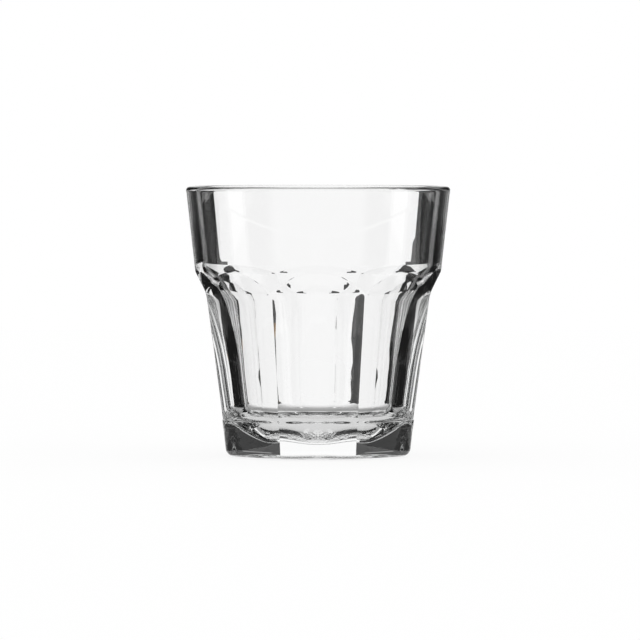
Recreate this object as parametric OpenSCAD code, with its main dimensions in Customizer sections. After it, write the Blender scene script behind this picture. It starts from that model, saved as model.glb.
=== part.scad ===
// Rocks glass: a flared tumbler of pressed clear glass with eight flat panels that end in arches,
// a thick eight-sided heel and a bowl-shaped floor. Millimetres, +Z up, standing on z = 0.

/* [Overall] */
// Height from the table to the top of the lip
height = 90.6; // [80:0.2:110]
// Outside diameter of the flared wall at the lip
rim_d = 89.3; // [85:0.1:98]
// Outside diameter where the same flare would reach the table
flare_foot_d = 69.2; // [65:0.2:73]

/* [Upper wall] */
// Thickness of the plain wall above the panels
band_wall = 3.1; // [2.6:0.1:5]
// Height of the rounded lip
lip_h = 1.4; // [1:0.1:3]

/* [Panels] */
// Number of flat panels round the glass
panel_count = 8; // [6:1:10]
// Height at which the panels start to run out into the flare
panel_h = 52.8; // [44:0.2:58]
// Lean of the run-out from upright, in degrees
arch_lean = 28; // [20:1:40]
// Radius of the hollow at the foot of the run-out
arch_hollow_r = 10.5; // [4:0.5:14]
// Radius of the round at the top of the run-out
arch_round_r = 6; // [3:0.5:12]
// Depth of a panel's middle below the flare, under its arch
panel_sink_top = 3.3; // [2.4:0.1:4]
// Depth of a panel's middle below the flare, above the heel
panel_sink_foot = 4.1; // [3:0.1:5]
// How far the run-out rises past the flare, which sets how crisp the arch is
arch_crisp = 0.3; // [0.2:0.1:1]
// Thickness of the glass behind a panel's middle
panel_wall_t = 5.8; // [5:0.1:8]

/* [Inside] */
// Lean of the inner shoulder from upright, in degrees
inner_lean = 21.7; // [20:0.1:30]
// How far below the tops of the arches the inner shoulder meets the plain wall
inner_top_drop = 2.4; // [0:0.2:4]
// Radius of the round at the foot of the inner shoulder
inner_round_r = 98; // [40:1:110]
// Radius of the hollow at the top of the inner shoulder
inner_hollow_r = 25.6; // [4:0.2:40]
// Height of the floor's middle above the table
floor_z = 5.2; // [4:0.1:9]
// Radius of the bowl-shaped floor
floor_r = 42; // [36:1:90]
// Radius that joins the floor to the wall
floor_corner_r = 7; // [4:0.5:10]

/* [Heel] */
// Height of the heel
foot_h = 13; // [10.5:0.5:16]
// How far the heel's flats stand proud of the panels
foot_proud = 0.5; // [0.1:0.05:0.8]
// Height of the slope from a panel out to the heel
foot_step_h = 1.1; // [0.5:0.1:2]
// How far the heel's corners are cut back inside the flare
foot_corner_cut = 1.9; // [1.2:0.1:2.6]
// Radius along the heel's bottom edge
foot_edge_r = 2.4; // [1:0.1:4]
// Diameter of the recess in the underside
recess_d = 40; // [34:0.5:48]
// Depth of that recess
recess_depth = 1.1; // [0.4:0.1:2]
// Width of the sloping edge of the recess
recess_slope_w = 2.5; // [1.5:0.5:5]

/* [Zones] */
// How far the heel and shoulder zones reach past their own features into the plain wall
zone_lap = 2; // [0.5:0.25:3]
// Width of the recess that belongs to the heel zone and not to the floor
floor_margin = 3; // [1.5:0.5:5]

/* [Hidden] */
$fn = 96;
clear_glass = [0.87, 0.93, 0.94, 0.4];

// Overshoot of cutting shapes past the glass
over = 1;
// Reach of cutting shapes, outside everything
reach = rim_d;
// Points along each rounded stretch
arc_steps = 8;

panel_angle = 360 / panel_count;
// Turn of the revolved forms, so that the line where they start misses panel middles and ridges
start_turn = panel_angle / 4;
lip_z = height - lip_h;

// The outside flare, a plain cone
flare_slope = (rim_d - flare_foot_d) / 2 / height;
function flare_r(z) = flare_foot_d / 2 + flare_slope * z;

// Distance of a panel's face from the axis, a straight line from heel to arch
panel_foot_r = flare_r(foot_h) - panel_sink_foot;
panel_top_r = flare_r(panel_h) - panel_sink_top;
panel_slope = (panel_top_r - panel_foot_r) / (panel_h - foot_h);
function panel_r(z) = panel_foot_r + panel_slope * (z - foot_h);

// Value a part t of the way from a to b
function mix(a, b, t) = a + (b - a) * t;

// In a half-profile, the direction up a face that leans out by an angle, and out of the glass from it
function up_face(lean) = [sin(lean), cos(lean)];
function out_of_face(lean) = [cos(lean), -sin(lean)];
// Points of a round of radius r about mid, as the face's lean goes from lean0 to lean1; a hollow has r below 0
function arc(mid, r, lean0, lean1) =
    [for (i = [0 : arc_steps]) mid + r * out_of_face(mix(lean0, lean1, i / arc_steps))];

// A panel's run-out: a hollow arc, a straight slope and a round arc that ends just past the flare
panel_lean = atan(panel_slope);
flare_lean = atan(flare_slope);
hollow_mid = [panel_top_r, panel_h] + arch_hollow_r * out_of_face(panel_lean);
slope_start = hollow_mid - arch_hollow_r * out_of_face(arch_lean);
slope_rise = arch_crisp + ([flare_r(0), 0] - slope_start) * out_of_face(flare_lean)
    - arch_round_r * (1 - cos(arch_lean - flare_lean));
slope_end = slope_start + slope_rise / sin(arch_lean - flare_lean) * up_face(arch_lean);
round_mid = slope_end - arch_round_r * out_of_face(arch_lean);
run_out_end = round_mid + arch_round_r * out_of_face(flare_lean);
arch_z = run_out_end.y;

// Height at which the heel starts to slope in to the panels
heel_top_z = foot_h - foot_step_h;

// Heights at which the glass is divided into zones
heel_split_z = foot_h + zone_lap;
wall_split_z = panel_h - zone_lap;
band_split_z = arch_z + zone_lap;

// The round along the heel's bottom edge, from the table up to a face of radius r and the given lean
function heel_edge(r, lean) =
    arc([r - foot_edge_r / cos(lean), foot_edge_r], foot_edge_r, 90, lean);

// Inside wall behind the panels and in the plain band
function low_r(z) = panel_r(z) - panel_wall_t;
function band_r(z) = flare_r(z) - band_wall;

// Inner shoulder between them: a round at its foot, a straight slope and a hollow at its top
inner_top_z = arch_z - inner_top_drop;
inner_foot_z = inner_top_z - (band_r(inner_top_z) - low_r(inner_top_z)) / (tan(inner_lean) - panel_slope);
inner_foot = [low_r(inner_foot_z), inner_foot_z];
inner_top = [band_r(inner_top_z), inner_top_z];
inner_round_start = inner_foot - inner_round_r * tan((inner_lean - panel_lean) / 2) * up_face(panel_lean);
inner_hollow_start = inner_top - inner_hollow_r * tan((inner_lean - flare_lean) / 2) * up_face(inner_lean);
shoulder_points = concat(
    arc(inner_round_start + inner_round_r * out_of_face(panel_lean), -inner_round_r, panel_lean, inner_lean),
    arc(inner_hollow_start - inner_hollow_r * out_of_face(inner_lean), inner_hollow_r, inner_lean, flare_lean));

// Arc between the bowl-shaped floor and the straight inside wall, tangent to both
bowl_mid_z = floor_z + floor_r;
corner_off = low_r(0) - floor_corner_r / cos(panel_lean);
corner_b = corner_off * panel_slope - bowl_mid_z;
corner_a = 1 + panel_slope * panel_slope;
corner_c = corner_off * corner_off + bowl_mid_z * bowl_mid_z - pow(floor_r - floor_corner_r, 2);
corner_z = (-corner_b - sqrt(corner_b * corner_b - corner_a * corner_c)) / corner_a;
corner_r = corner_off + panel_slope * corner_z;
bowl_angle = atan2(corner_r, bowl_mid_z - corner_z);

bowl_points = arc([0, bowl_mid_z], floor_r, 90, 90 - bowl_angle);
corner_points = arc([corner_r, corner_z], floor_corner_r, 90 - bowl_angle, panel_lean);

// Half-profile of the space inside, open at the mouth
module cavity_profile() {
    polygon(concat(bowl_points, corner_points, shoulder_points,
        [[band_r(height + over), height + over], [0, height + over]]));
}

// Half-profile of the flared blank with its rounded lip
module blank_profile() {
    half = band_wall / 2;
    mid = flare_r(lip_z) - half;
    lip_points = [for (i = [0 : arc_steps])
        let (a = mix(0, 180, i / arc_steps))
        [mid + half * cos(a), lip_z + lip_h * sin(a)]];
    polygon(concat([[0, 0], [flare_r(0), 0]], lip_points, [[0, lip_z]]));
}

// What is cut away outside one panel: heel edge, heel flat, panel face and run-out
module panel_cut_profile() {
    edge = heel_edge(panel_r(foot_edge_r) + foot_proud, panel_lean);
    polygon(concat([[reach, -over], [edge[0].x, -over]], edge,
        [[panel_r(heel_top_z) + foot_proud, heel_top_z], [panel_foot_r, foot_h]],
        arc(hollow_mid, -arch_hollow_r, panel_lean, arch_lean),
        arc(round_mid, arch_round_r, arch_lean, flare_lean), [[reach, arch_z]]));
}

// One panel cut, facing -Y
module panel_cut() {
    rotate([0, 0, -90])
        rotate([90, 0, 0])
            linear_extrude(height = reach, center = true)
                panel_cut_profile();
}

// What is cut away from the heel's corners, all the way round
module heel_corner_cut() {
    edge = heel_edge(flare_r(foot_edge_r) - foot_corner_cut, flare_lean);
    rotate_extrude()
        polygon(concat([[reach, -over], [edge[0].x, -over]], edge,
            [[flare_r(heel_top_z) - foot_corner_cut, heel_top_z], [flare_r(foot_h), foot_h], [reach, foot_h]]));
}

// Shallow recess in the underside
module recess() {
    rotate_extrude()
        polygon([[0, -over], [recess_d / 2, -over], [recess_d / 2, 0],
            [recess_d / 2 - recess_slope_w, recess_depth], [0, recess_depth]]);
}

// Plain revolved glass, with no panels yet
module revolved_glass() {
    rotate([0, 0, start_turn])
        difference() {
            rotate_extrude() blank_profile();
            rotate_extrude() cavity_profile();
        }
}

// The revolved glass with its panels cut
module panelled_glass() {
    difference() {
        revolved_glass();
        for (i = [0 : panel_count - 1])
            rotate([0, 0, i * panel_angle]) panel_cut();
    }
}

// A level slice between two heights, wider than the glass
module slice(z0, z1) {
    translate([-reach, -reach, z0]) cube([2 * reach, 2 * reach, z1 - z0]);
}

// The heel slice with its corners cut back and its underside recessed
module heel() {
    difference() {
        intersection() {
            panelled_glass();
            slice(-over, heel_split_z);
        }
        heel_corner_cut();
        recess();
    }
}

// Flat-sided column that bounds the floor, its flats in line with the panels
module floor_column() {
    flats_r = recess_d / 2 - floor_margin;
    translate([0, 0, -over])
        rotate([0, 0, 90 + panel_angle / 2])
            cylinder(h = heel_split_z + 2 * over, r = flats_r / cos(panel_angle / 2), $fn = panel_count);
}

// Fire-polished lip
module lip() {
    color(clear_glass)
        intersection() {
            revolved_glass();
            slice(lip_z, height + over);
        }
}

// Plain flared wall between the arches and the lip
module upper_band() {
    color(clear_glass)
        intersection() {
            revolved_glass();
            slice(band_split_z, lip_z);
        }
}

// Zone where the panels run out in arches
module arch_shoulder() {
    color(clear_glass)
        intersection() {
            panelled_glass();
            slice(wall_split_z, band_split_z);
        }
}

// Thick wall with the flat panels
module panel_wall() {
    color(clear_glass)
        intersection() {
            panelled_glass();
            slice(heel_split_z, wall_split_z);
        }
}

// Heel ring that stands on the table
module foot() {
    color(clear_glass)
        difference() {
            heel();
            floor_column();
        }
}

// Thick bottom inside the heel ring
module floor() {
    color(clear_glass)
        intersection() {
            heel();
            floor_column();
        }
}

lip();
upper_band();
arch_shoulder();
panel_wall();
foot();
floor();
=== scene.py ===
import math

import bpy
import numpy as np
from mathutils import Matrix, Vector


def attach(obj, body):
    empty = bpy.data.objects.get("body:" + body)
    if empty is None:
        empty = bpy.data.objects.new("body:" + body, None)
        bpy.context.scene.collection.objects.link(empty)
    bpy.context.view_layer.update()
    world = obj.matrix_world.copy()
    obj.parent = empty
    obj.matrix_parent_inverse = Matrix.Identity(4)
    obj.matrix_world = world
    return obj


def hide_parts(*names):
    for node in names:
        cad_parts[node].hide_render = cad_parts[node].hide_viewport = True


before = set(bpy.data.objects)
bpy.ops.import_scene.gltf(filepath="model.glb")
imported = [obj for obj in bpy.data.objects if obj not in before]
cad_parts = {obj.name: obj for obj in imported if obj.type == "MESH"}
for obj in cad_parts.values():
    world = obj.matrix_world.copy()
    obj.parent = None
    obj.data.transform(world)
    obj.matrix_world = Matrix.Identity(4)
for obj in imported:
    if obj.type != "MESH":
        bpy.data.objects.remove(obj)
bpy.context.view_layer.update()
scene = bpy.context.scene
mm = 0.001
print("frame loaded:", len(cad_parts), "zones of glass")


def hexToLinear(text):
    # sRGB hex to the linear colour that shaders take
    parts = [int(text[i:i + 2], 16) / 255 for i in (1, 3, 5)]
    return tuple(c / 12.92 if c <= 0.04045 else ((c + 0.055) / 1.055) ** 2.4 for c in parts) + (1.0,)


def addNode(tree, kind, settings=None, links=None):
    # settings go to the node's own fields or to its sockets, links join its sockets to earlier outputs
    node = tree.nodes.new(kind)
    for name, value in (settings or {}).items():
        if isinstance(name, str) and hasattr(node, name):
            setattr(node, name, value)
        else:
            node.inputs[name].default_value = value
    for name, source in (links or {}).items():
        tree.links.new(source, node.inputs[name])
    return node


def newMaterial(name):
    material = bpy.data.materials.new(name)
    material.use_nodes = True
    material.node_tree.nodes.clear()
    return material


def newObject(name, points, faces):
    mesh = bpy.data.meshes.new(name)
    mesh.from_pydata([tuple(p) for p in points], [], [tuple(f) for f in faces])
    mesh.update()
    thing = bpy.data.objects.new(name, mesh)
    scene.collection.objects.link(thing)
    return thing


def mix(a, b, t):
    return a + (b - a) * t


def ease(t):
    # smooth step from 0 to 1
    t = np.clip(t, 0.0, 1.0)
    return t * t * (3 - 2 * t)


# camera, at the photograph's angle: far back with a long lens, a little above the lip
shot = {
    "distance": 1.9,  # m from the glass's axis
    "eyeHeight": 0.110,  # m above the table
    "sensorWidth": 36.0,  # mm
    "clipStart": 0.05,  # m
    "frameSize": 640,  # px, the photograph's width and height
    "axisX": 318.1,  # px, where the glass's axis stands in the photograph
    "tableY": 454.7,  # px, where the table crosses the axis
    "pxPerMm": 2.966,  # scale at the axis
}


def makeCamera():
    lens = bpy.data.cameras.new("photoCamera")
    camera = bpy.data.objects.new("photoCamera", lens)
    scene.collection.objects.link(camera)
    half = shot["frameSize"] / 2
    focalPx = shot["pxPerMm"] / mm * shot["distance"]
    lens.sensor_width = shot["sensorWidth"]
    lens.lens = focalPx / shot["frameSize"] * shot["sensorWidth"]
    lens.clip_start = shot["clipStart"]
    metresPerPx = mm / shot["pxPerMm"]
    target = Vector(((half - shot["axisX"]) * metresPerPx, 0.0, (shot["tableY"] - half) * metresPerPx))
    camera.location = (0.0, -shot["distance"], shot["eyeHeight"])
    camera.rotation_mode = "QUATERNION"
    camera.rotation_quaternion = (target - camera.location).to_track_quat("-Z", "Y")
    scene.camera = camera


makeCamera()
print("camera set")


# glass: one continuous pressed wall, sizes in mm as in the solids
tumbler = {
    "height": 90.6,
    "rimD": 89.3,
    "flareFootD": 69.2,  # the outside cone, carried down to the table
    "bandWall": 3.1,
    "lipH": 1.4,
    "panels": 8,
    "panelH": 52.8,  # where the panels start to run out
    "archLean": 28.0,  # degrees from upright
    "archHollowR": 10.5,
    "archRoundR": 6.0,
    "sinkTop": 3.3,  # depth of a panel's middle below the cone
    "sinkFoot": 4.1,
    "panelWall": 5.8,
    "innerLean": 21.7,  # degrees from upright
    "innerTopZ": 61.9,
    "innerRoundR": 98.0,
    "innerHollowR": 25.6,
    "floorZ": 5.2,
    "floorR": 42.0,
    "floorCornerR": 7.0,
    "footH": 13.0,
    "footProud": 0.5,
    "footStepH": 1.1,
    "footCornerCut": 1.9,
    "footEdgeR": 2.4,
    "recessD": 40.0,
    "recessDepth": 1.1,
    "recessSlopeW": 2.5,
    "stippleD": 25.0,  # the middle of the recess is pressed with bumps
    "stippleH": 0.05,
    "stipplePitch": 2.2,
    "ridgeSoft": 0.12,  # how far the ridges between panels are fire-polished round
    "archSoft": 0.31,
    "archSoftLead": 2.0,  # the ridges start to widen to archSoft this far below panelH
    "archSoftRun": 5.0,
    "archFade": 4.4,
    "heelSoft": 1.15,
    "heelRidgeSoft": 0.01,
}
# rings and columns of the glass's skin: how many, and the room in mm between stretches of rings
skin = {
    "columnsPerPanel": 50,
    "crowding": 1.7,  # above 1, columns of the panels stand closer near the ridges
    "recessRings": 44,
    "recessSlopeRings": 7,
    "edgeRings": 10,
    "heelRings": 4,
    "stepRings": 12,
    "panelRings": 9,
    "archRings": 50,
    "bandRings": 6,
    "lipRings": 19,
    "insideRings": 5,
    "slopeRings": 5,
    "cornerRings": 14,
    "bowlRings": 19,
    "stepMargin": 0.2,
    "stepGap": 0.3,
    "archMarginFoot": 0.8,
    "archMarginTop": 1.2,
    "archGap": 0.4,
    "wallGap": 0.6,
}
halfPanel = math.pi / tumbler["panels"]
flareSlope = (tumbler["rimD"] - tumbler["flareFootD"]) / 2 / tumbler["height"]
flareLean = math.atan(flareSlope)
lipZ = tumbler["height"] - tumbler["lipH"]


def flareR(z):
    return tumbler["flareFootD"] / 2 + flareSlope * z


panelFootR = flareR(tumbler["footH"]) - tumbler["sinkFoot"]
panelTopR = flareR(tumbler["panelH"]) - tumbler["sinkTop"]
panelSlope = (panelTopR - panelFootR) / (tumbler["panelH"] - tumbler["footH"])
panelLean = math.atan(panelSlope)


def panelR(z):
    return panelFootR + panelSlope * (z - tumbler["footH"])


def outOfFace(lean):
    return np.array([math.cos(lean), -math.sin(lean)])


def upFace(lean):
    return np.array([math.sin(lean), math.cos(lean)])


def arc(mid, r, lean0, lean1, steps):
    # half-profile points (radius, height) as the face's lean goes from lean0 to lean1
    return [mid + r * outOfFace(mix(lean0, lean1, i / steps)) for i in range(steps + 1)]


def runOut(steps=16):
    # how a panel runs out into the cone: hollow, straight slope, round
    lean = math.radians(tumbler["archLean"])
    hollowR, roundR = tumbler["archHollowR"], tumbler["archRoundR"]
    hollowMid = np.array([panelTopR, tumbler["panelH"]]) + hollowR * outOfFace(panelLean)
    slopeStart = hollowMid - hollowR * outOfFace(lean)
    rise = (np.array([flareR(0.0), 0.0]) - slopeStart) @ outOfFace(flareLean)
    rise -= roundR * (1 - math.cos(lean - flareLean))
    slopeEnd = slopeStart + rise / math.sin(lean - flareLean) * upFace(lean)
    roundMid = slopeEnd - roundR * outOfFace(lean)
    hollow = arc(hollowMid, -hollowR, panelLean, lean, steps)
    return np.array(hollow + arc(roundMid, roundR, lean, flareLean, steps))


runOutPoints = runOut()
archZ = runOutPoints[-1][1]


def panelFaceR(z):
    # distance of a panel's middle from the axis, run-out included
    if z < tumbler["panelH"]:
        return panelR(z)
    if z > archZ:
        return flareR(z)
    return float(np.interp(z, runOutPoints[:, 1], runOutPoints[:, 0]))


def softMin(a, b, soft):
    # the smaller of two radii, with the corner between them rounded
    h = np.clip(0.5 + 0.5 * (b - a) / soft, 0.0, 1.0)
    return mix(b, a, h) - soft * h * (1 - h)


def flats(faceR, across, soft):
    # an even polygon of flats, at angles measured from the nearest flat's middle
    beside = 2 * halfPanel - np.abs(across)
    return softMin(faceR / np.cos(across), faceR / np.cos(beside), soft)


def outsideR(z, across):
    t = tumbler
    widening = ease((z - t["panelH"] + t["archSoftLead"]) / t["archSoftRun"])
    wallSoft = mix(t["ridgeSoft"], t["archSoft"], widening)
    # the panels move clear of the cone at the arches' tops, so that the plain band has no dent
    clear = t["archSoft"] * ease((z - archZ) / t["archFade"] + 1)
    wall = softMin(flareR(z), flats(panelFaceR(z), across, t["ridgeSoft"]) + clear, wallSoft)
    heelFlats = flats(panelR(z) + t["footProud"], across, t["heelRidgeSoft"])
    heel = softMin(flareR(z) - t["footCornerCut"], heelFlats, t["heelSoft"])
    return mix(wall, heel, ease((t["footH"] - z) / t["footStepH"]))


def low(z):
    # inside wall behind the panels
    return panelR(z) - tumbler["panelWall"]


def band(z):
    # inside wall of the plain band
    return flareR(z) - tumbler["bandWall"]


def innerShoulder(steps=14):
    # from the wall behind the panels up to the band: round, straight slope, hollow
    t = tumbler
    lean = math.radians(t["innerLean"])
    roundR, hollowR = t["innerRoundR"], t["innerHollowR"]
    top = np.array([band(t["innerTopZ"]), t["innerTopZ"]])
    drop = (top[0] - low(top[1])) / (math.tan(lean) - panelSlope)
    foot = np.array([low(top[1] - drop), top[1] - drop])
    roundStart = foot - roundR * math.tan((lean - panelLean) / 2) * upFace(panelLean)
    roundMid = roundStart + roundR * outOfFace(panelLean)
    hollowStart = top - hollowR * math.tan((lean - flareLean) / 2) * upFace(lean)
    hollowMid = hollowStart - hollowR * outOfFace(lean)
    roundPoints = arc(roundMid, -roundR, panelLean, lean, steps)
    return roundPoints + arc(hollowMid, hollowR, lean, flareLean, steps)


def insideProfile():
    # from under the lip down to the middle of the bowl-shaped floor
    # the corner touches the wall and the bowl, so its middle solves a z*z + 2 b z + c = 0
    t = tumbler
    bowlMidZ = t["floorZ"] + t["floorR"]
    off = low(0.0) - t["floorCornerR"] / math.cos(panelLean)
    a = 1 + panelSlope ** 2
    b = off * panelSlope - bowlMidZ
    c = off ** 2 + bowlMidZ ** 2 - (t["floorR"] - t["floorCornerR"]) ** 2
    cornerZ = (-b - math.sqrt(b * b - a * c)) / a
    cornerMid = np.array([off + panelSlope * cornerZ, cornerZ])
    bowlLean = math.pi / 2 - math.atan2(cornerMid[0], bowlMidZ - cornerZ)
    corner = arc(cornerMid, t["floorCornerR"], panelLean, bowlLean, skin["cornerRings"])
    bowl = arc(np.array([0.0, bowlMidZ]), t["floorR"], bowlLean, math.pi / 2, skin["bowlRings"])
    shoulder = innerShoulder()[::-1]
    half = len(shoulder) // 2
    parts = skin["slopeRings"] + 1
    slope = [mix(shoulder[half - 1], shoulder[half], i / parts) for i in range(1, parts)]
    gap, count = skin["wallGap"], skin["insideRings"]
    points = [(band(z), z) for z in np.linspace(lipZ - gap, shoulder[0][1] + gap, count)]
    points += shoulder[:half] + slope + shoulder[half:]
    points += [(low(z), z) for z in np.linspace(shoulder[-1][1] - gap, corner[0][1] + gap, count)]
    return points + corner + bowl[1:-1]


def outsideHeights():
    # from the heel's rounded edge up to the lip, with rings close together where the shape turns
    t = tumbler
    stepFoot = t["footH"] - t["footStepH"] - skin["stepMargin"]
    stepTop = t["footH"] + skin["stepMargin"]
    archFoot = t["panelH"] - skin["archMarginFoot"]
    archTop = archZ + skin["archMarginTop"]
    stepGap, archGap = skin["stepGap"], skin["archGap"]
    return np.concatenate([
        np.linspace(t["footEdgeR"] + archGap, stepFoot - stepGap, skin["heelRings"]),
        np.linspace(stepFoot, stepTop, skin["stepRings"]),
        np.linspace(stepTop + stepGap, archFoot - archGap, skin["panelRings"]),
        np.linspace(archFoot, archTop, skin["archRings"]),
        np.linspace(archTop + archGap, lipZ - skin["wallGap"], skin["bandRings"]),
    ])


def stipple(r, angle):
    # height of the bumps in the middle of the recess, close-packed, dying out at its edge
    t = tumbler
    around = 2 * math.pi / (t["stipplePitch"] * math.cos(math.pi / 6))
    waves = [np.cos(around * r * np.cos(angle - i * math.pi / 3)) for i in range(3)]
    return t["stippleH"] * sum(waves) / 3 * ease((t["stippleD"] / 2 - r) / t["stipplePitch"])


def glassRings(even, close, turn):
    # ring by ring from the recess round to the inside's floor: angle, radius and height at each column
    # round rings have even columns, rings of the panels and heel have columns close at the ridges
    t = tumbler
    rings = []

    def addRing(across, r, z):
        rings.append((turn + across, r + 0 * across, z + 0 * across))

    recessR, edgeR = t["recessD"] / 2, t["footEdgeR"]
    flatR = recessR - t["recessSlopeW"]
    for r in np.linspace(0, flatR, skin["recessRings"] + 2)[2:]:
        addRing(even, r, t["recessDepth"] + stipple(r, turn + even))
    for s in np.linspace(0, 1, skin["recessSlopeRings"] + 1)[1:]:
        addRing(mix(even, close, s), mix(flatR, recessR, s), t["recessDepth"] * (1 - ease(s)))
    heelR = outsideR(edgeR, close)
    bearingR = heelR - edgeR * (1 + panelSlope / 2)
    addRing(close, mix(recessR, bearingR, 0.5), 0.0)
    for a in np.linspace(0, math.pi / 2, skin["edgeRings"]):
        drop = edgeR * (1 - math.cos(a))
        addRing(close, heelR - edgeR * (1 - math.sin(a)) - panelSlope / 2 * (edgeR - drop), drop)
    for z in outsideHeights():
        across = mix(close, even, ease((z - t["panelH"]) / (archZ - t["panelH"])))
        addRing(across, outsideR(z, across), z)
    half = t["bandWall"] / 2
    for a in np.linspace(0, math.pi, skin["lipRings"]):
        addRing(even, flareR(lipZ) - half + half * math.cos(a), lipZ + t["lipH"] * math.sin(a))
    for r, z in insideProfile():
        addRing(even, r, z)
    return rings


def makeGlass():
    columns = skin["columnsPerPanel"]
    spread = np.tile((np.arange(columns) + 0.5) / columns * 2 - 1, tumbler["panels"])
    even = spread * halfPanel
    close = np.sign(spread) * (1 - (1 - np.abs(spread)) ** skin["crowding"]) * halfPanel
    turn = np.repeat(np.arange(tumbler["panels"]) * 2 * halfPanel, columns)
    rings = glassRings(even, close, turn)
    count = len(turn)
    points = [np.column_stack([r * np.sin(angle), -r * np.cos(angle), z]) for angle, r, z in rings]
    points += [[[0, 0, tumbler["recessDepth"] + tumbler["stippleH"]], [0, 0, tumbler["floorZ"]]]]
    points = np.concatenate(points) * mm
    here = np.arange(count)
    there = (here + 1) % count
    last = (len(rings) - 1) * count
    below, above = len(points) - 2, len(points) - 1
    faces = []
    for i in range(len(rings) - 1):
        lower, upper = i * count, (i + 1) * count
        faces += np.stack([lower + here, lower + there, upper + there, upper + here], 1).tolist()
    faces += [(below, b, a) for a, b in zip(here, there)]
    faces += [(above, last + a, last + b) for a, b in zip(here, there)]
    glass = newObject("tumblerGlass", points.tolist(), faces)
    glass.data.polygons.foreach_set("use_smooth", [True] * len(glass.data.polygons))
    return glass


# soda-lime glass, pressed in a mould and fire-polished: clear, with a faint grey-green in the thick heel
clearGlass = {
    "ior": 1.52,
    "roughness": 0.0,
    "tint": "#f4faf8",
    "density": 1.5,  # per metre
}


def sodaLimeGlass():
    material = newMaterial("sodaLimeGlassFirePolished")
    tree = material.node_tree
    surface = addNode(tree, "ShaderNodeBsdfPrincipled", {
        "Base Color": (1.0, 1.0, 1.0, 1.0), "Roughness": clearGlass["roughness"],
        "IOR": clearGlass["ior"], "Transmission Weight": 1.0})
    inside = addNode(tree, "ShaderNodeVolumeAbsorption", {
        "Color": hexToLinear(clearGlass["tint"]), "Density": clearGlass["density"]})
    addNode(tree, "ShaderNodeOutputMaterial", links={
        "Surface": surface.outputs["BSDF"], "Volume": inside.outputs["Volume"]})
    return material


glass = makeGlass()
glass.data.materials.append(sodaLimeGlass())
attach(glass, "root")
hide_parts("lip", "upper_band", "arch_shoulder", "panel_wall", "foot", "floor")
print("glass made:", len(glass.data.vertices), "points")


# studio for clear glass: white behind and in front, dark boards beside it, so that the edges read dark
# levels are shares of white, sizes in m from the axis; the floor is white where no board lies
studio = {
    "white": 1.0,
    "grey": 0.029,
    "dark": 0.010,
    "kraft": "#8a6a3c",
    "distance": 0.400,  # the cards stand behind the glass
    "wallBack": 0.002,  # the wall stands this far behind the cards
    "wallHalf": 0.700,
    "wallBottom": 0.035,
    "wallTop": 0.500,
    "streakLevel": 0.25,  # dim cards before the wall, which streak the dark sides of the glass
    "streakNear": 0.165,
    "streakFar": 0.210,
    "streakBottom": 0.056,
    "streakTop": 0.075,
    "besideX": 0.600,  # white cards beside the glass, for a look from the side
    "besideHalf": 0.120,
    "besideTop": 0.400,
    "nearHalf": 0.074,  # half the near sheet's width, with the dark boards beside it
    "nearBack": 0.112,
    "nearEnd": 0.310,
    "boardFront": -0.040,
    "boardEnd": 0.650,
    "sideX": 0.036,  # inner edge of the boards beside the heel
    "sheetShadowLevel": 0.33,  # painted shadow of the glass: level of the sheet close behind it
    "sheetShadowY": 0.034,
    "sheetWhiteY": 0.123,
    "underR": 0.034,  # painted shade: a disc under the glass, dimmer than the white floor, where the glass shades the table
    "underLevel": 0.7,
    "frontLevel": 0.65,
    "frontHalf": 0.400,
    "frontEnd": -0.700,
    "worldDarkY": -0.60,  # the world turns from dark to the front's level between these directions
    "worldFrontY": -0.75,
    "floorR": 1.2,
    "floorDrop": 0.0004,  # the floor, the boards and what lies on them are kept apart in height
    "boardDrop": 0.0002,
    "topDrop": 0.0001,
    "discCorners": 96,
    "shadowDepth": 0.12,
}
# white card behind: (x, z) round its stepped outline
whiteOutline = [(-0.330, 0.0), (0.143, 0.0), (0.143, 0.019), (0.068, 0.019), (0.068, 0.045),
                (0.077, 0.045), (0.078, 0.060), (0.082, 0.062), (0.082, 0.400), (-0.090, 0.400),
                (-0.090, 0.054), (-0.085, 0.045), (-0.073, 0.045), (-0.073, 0.019), (-0.330, 0.019)]
# back part of the dark boards: (x, y) along the edge of the white sheet, from near to far
sheetEdgeLeft = [(-0.074, 0.112), (-0.086, 0.118), (-0.090, 0.133), (-0.116, 0.150), (-0.315, 0.400)]
sheetEdgeRight = [(0.050, 0.112), (0.064, 0.135), (0.066, 0.180), (0.074, 0.215), (0.098, 0.240),
                  (0.126, 0.300), (0.143, 0.400)]
# raw brown edge of the left board: (x, y) round its outline
kraftEdge = [(-0.099, 0.139), (-0.115, 0.149), (-0.119, 0.142), (-0.103, 0.129)]


def glowMaterial(name, colour):
    # evenly lit matt card or board, which shows in the glass as one flat tone
    material = newMaterial(name)
    tree = material.node_tree
    glow = addNode(tree, "ShaderNodeEmission", {"Color": colour})
    addNode(tree, "ShaderNodeOutputMaterial", links={"Surface": glow.outputs["Emission"]})
    return material


def grey(level):
    return (level, level, level, 1.0)


def makeCard(name, corners, material):
    # seen only through the glass or mirrored in it
    card = newObject(name, corners, [tuple(range(len(corners)))])
    card.data.materials.append(material)
    card.visible_camera = False
    card.visible_diffuse = False
    card.visible_shadow = False


def upright(left, right, bottom, top, back=0.0):
    y = studio["distance"] + back
    return [(left, y, bottom), (right, y, bottom), (right, y, top), (left, y, top)]


def lying(edge, drop):
    return [(x, y, -drop) for x, y in edge]


def oblong(left, right, front, back):
    return lying([(left, front), (right, front), (right, back), (left, back)], studio["boardDrop"])


def disc(radius):
    turns = [2 * math.pi * i / studio["discCorners"] for i in range(studio["discCorners"])]
    return [(radius * math.cos(turn), radius * math.sin(turn)) for turn in turns]


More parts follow.
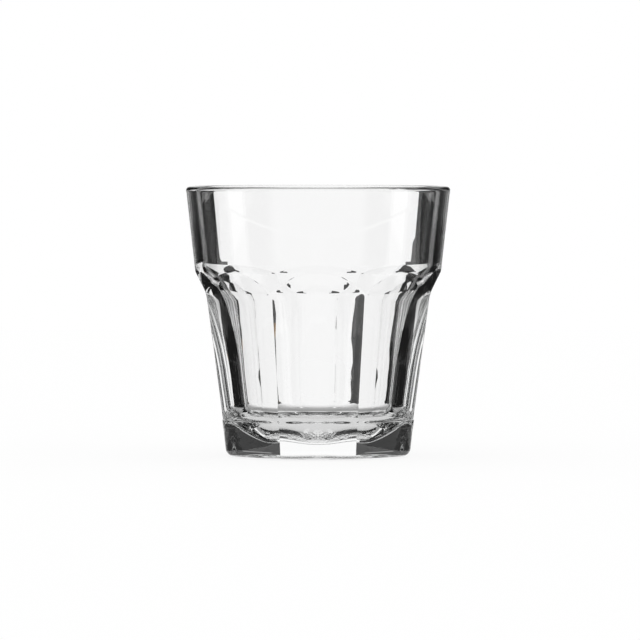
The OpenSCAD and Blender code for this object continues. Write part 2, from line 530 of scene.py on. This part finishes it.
def sheetMaterial():
    # white paper with the glass's shadow painted on it: grey close behind the glass, white further back
    material = newMaterial("sheetWithPaintedShadow")
    tree = material.node_tree
    place = addNode(tree, "ShaderNodeTexCoord")
    axes = addNode(tree, "ShaderNodeSeparateXYZ", links={0: place.outputs["Object"]})
    level = addNode(tree, "ShaderNodeMapRange", {
        "interpolation_type": "SMOOTHSTEP",
        "From Min": studio["sheetShadowY"], "From Max": studio["sheetWhiteY"],
        "To Min": studio["sheetShadowLevel"], "To Max": studio["white"]}, {"Value": axes.outputs["Y"]})
    glow = addNode(tree, "ShaderNodeEmission", links={"Strength": level.outputs["Result"]})
    addNode(tree, "ShaderNodeOutputMaterial", links={"Surface": glow.outputs["Emission"]})
    return material


def floorMaterial():
    # plain white to the camera and to the glass, with the object's soft shadow
    material = newMaterial("paleFloor")
    tree = material.node_tree
    pale = addNode(tree, "ShaderNodeBsdfDiffuse", {"Color": grey(studio["white"])})
    glow = addNode(tree, "ShaderNodeEmission", {"Color": grey(studio["white"])})
    seen = addNode(tree, "ShaderNodeMixShader", {0: studio["shadowDepth"]}, {
        1: glow.outputs[0], 2: pale.outputs[0]})
    addNode(tree, "ShaderNodeOutputMaterial", links={"Surface": seen.outputs[0]})
    return material


def makeStudio():
    s = studio
    white = glowMaterial("whiteCard", grey(s["white"]))
    dark = glowMaterial("darkBoard", grey(s["dark"]))
    wall = glowMaterial("greyWall", grey(s["grey"]))
    front = glowMaterial("frontSheet", grey(s["frontLevel"]))
    streak = glowMaterial("streakCard", grey(s["streakLevel"]))
    kraft = glowMaterial("kraftBoard", hexToLinear(s["kraft"]))
    shadedDiscUnderGlass = glowMaterial("paintedShadeUnderGlass", grey(s["underLevel"]))
    makeCard("whiteBack", [(x, s["distance"], z) for x, z in whiteOutline], white)
    makeCard("kraftEdge", lying(kraftEdge, s["topDrop"]), kraft)
    half = s["wallHalf"]
    makeCard("darkSkirt", upright(-half, half, 0.0, s["wallBottom"], s["wallBack"]), dark)
    makeCard("backWall", upright(-half, half, s["wallBottom"], s["wallTop"], s["wallBack"]), wall)
    half = s["nearHalf"]
    makeCard("nearSheet", oblong(-half, half, 0.0, s["nearBack"]), sheetMaterial())
    half = s["frontHalf"]
    makeCard("frontSheet", oblong(-half, half, s["frontEnd"], s["boardFront"]), front)
    half, top = s["besideHalf"], s["besideTop"]
    for name, side, edge in (("left", -1, sheetEdgeLeft), ("right", 1, sheetEdgeRight)):
        x = side * s["besideX"]
        nearEnd, farEnd = side * s["nearEnd"], side * s["boardEnd"]
        farBoard = edge + [(farEnd, edge[-1][1]), (farEnd, edge[0][1])]
        besideCard = [(x, -half, 0.0), (x, half, 0.0), (x, half, top), (x, -half, top)]
        makeCard(name + "Beside", besideCard, white)
        makeCard(name + "SideBoard", oblong(side * s["sideX"], nearEnd, s["boardFront"], 0.0), dark)
        makeCard(name + "NearBoard", oblong(side * s["nearHalf"], nearEnd, 0.0, s["nearBack"]), dark)
        makeCard(name + "FarBoard", lying(farBoard, s["boardDrop"]), dark)
        makeCard(name + "Streak", upright(side * s["streakNear"], side * s["streakFar"],
                                          s["streakBottom"], s["streakTop"]), streak)
    # painted shade under the glass, seen through its base
    makeCard("shadedDiscUnderGlass", lying(disc(s["underR"]), s["topDrop"]), shadedDiscUnderGlass)
    floorEdge = lying(disc(s["floorR"]), s["floorDrop"])
    floor = newObject("floor_plane", floorEdge, [tuple(range(len(floorEdge)))])
    floor.data.materials.append(floorMaterial())


def makeWorld():
    # white to the camera and for the floor's shading; to the glass pale in front and dark elsewhere
    world = bpy.data.worlds.new("studioWorld")
    scene.world = world
    world.use_nodes = True
    tree = world.node_tree
    tree.nodes.clear()
    path = addNode(tree, "ShaderNodeLightPath")
    place = addNode(tree, "ShaderNodeTexCoord")
    axes = addNode(tree, "ShaderNodeSeparateXYZ", links={0: place.outputs["Generated"]})
    level = addNode(tree, "ShaderNodeMapRange", {
        "interpolation_type": "SMOOTHSTEP",
        "From Min": studio["worldDarkY"], "From Max": studio["worldFrontY"],
        "To Min": studio["dark"], "To Max": studio["frontLevel"]}, {"Value": axes.outputs["Y"]})
    shaped = addNode(tree, "ShaderNodeBackground", links={"Strength": level.outputs["Result"]})
    white = addNode(tree, "ShaderNodeBackground", {"Color": grey(studio["white"])})
    plain = addNode(tree, "ShaderNodeMath", {"operation": "MAXIMUM"}, {
        0: path.outputs["Is Camera Ray"], 1: path.outputs["Is Diffuse Ray"]})
    both = addNode(tree, "ShaderNodeMixShader", links={
        0: plain.outputs[0], 1: shaped.outputs[0], 2: white.outputs[0]})
    addNode(tree, "ShaderNodeOutputWorld", links={"Surface": both.outputs[0]})


makeStudio()
makeWorld()
# light crosses many faces of the thick heel before it leaves
scene.cycles.max_bounces = 32
scene.cycles.transmission_bounces = 32
scene.cycles.glossy_bounces = 16
scene.view_settings.view_transform = "Standard"
print("studio set")
